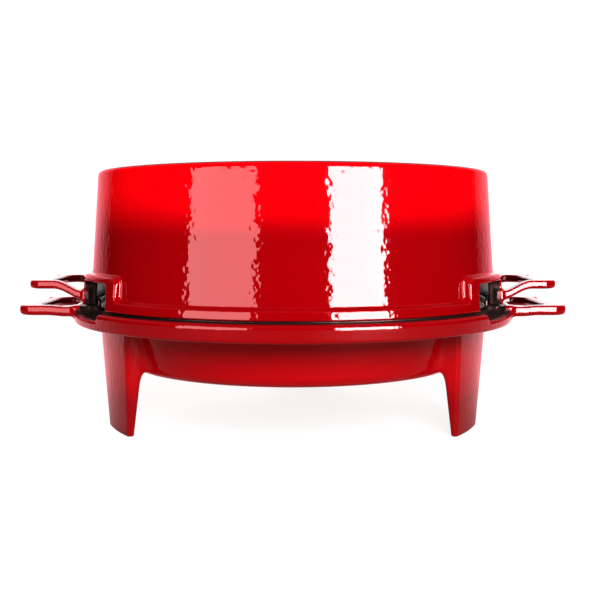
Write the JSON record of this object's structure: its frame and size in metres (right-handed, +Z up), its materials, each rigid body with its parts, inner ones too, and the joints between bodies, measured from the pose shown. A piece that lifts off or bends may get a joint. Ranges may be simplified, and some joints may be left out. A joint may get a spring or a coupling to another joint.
{
  "type": "dutch oven",
  "caption": "Round enamelled cast iron oven: a shallow footed pan with loop handles under a deep upturned pot, whose rim has matching handles and windows beside them.",
  "frame": {"origin": "centre of the bounding box on the floor plane that the legs stand on", "axes": "+Z up, the handles lie along X, the front faces -Y and the back leg stands on +Y"},
  "size_m": [0.415, 0.3412, 0.1894],
  "materials": {
    "pan_enamel": "gloss red vitreous enamel outside, satin black enamel inside and on the rim",
    "leg_enamel": "gloss red vitreous enamel, ground bare under the feet",
    "handle_enamel": "gloss red vitreous enamel, thin over the edges",
    "pot_enamel": "gloss red vitreous enamel outside, satin black enamel inside and on the rim"
  },
  "bodies": {
    "pan_casting": {"pan": "pan_enamel", "leg_left": "leg_enamel", "leg_right": "leg_enamel", "leg_back": "leg_enamel", "pan_handle_left": "handle_enamel", "pan_handle_right": "handle_enamel"},
    "pot_casting": {"pot": "pot_enamel", "pot_handle_left": "handle_enamel", "pot_handle_right": "handle_enamel"}
  },
  "joints": [
    {"name": "pot_lift", "type": "slide", "parent": "pan_casting", "child": "pot_casting", "axis": [0, 0, 1], "range_m": [0, 0.15]}
  ]
}
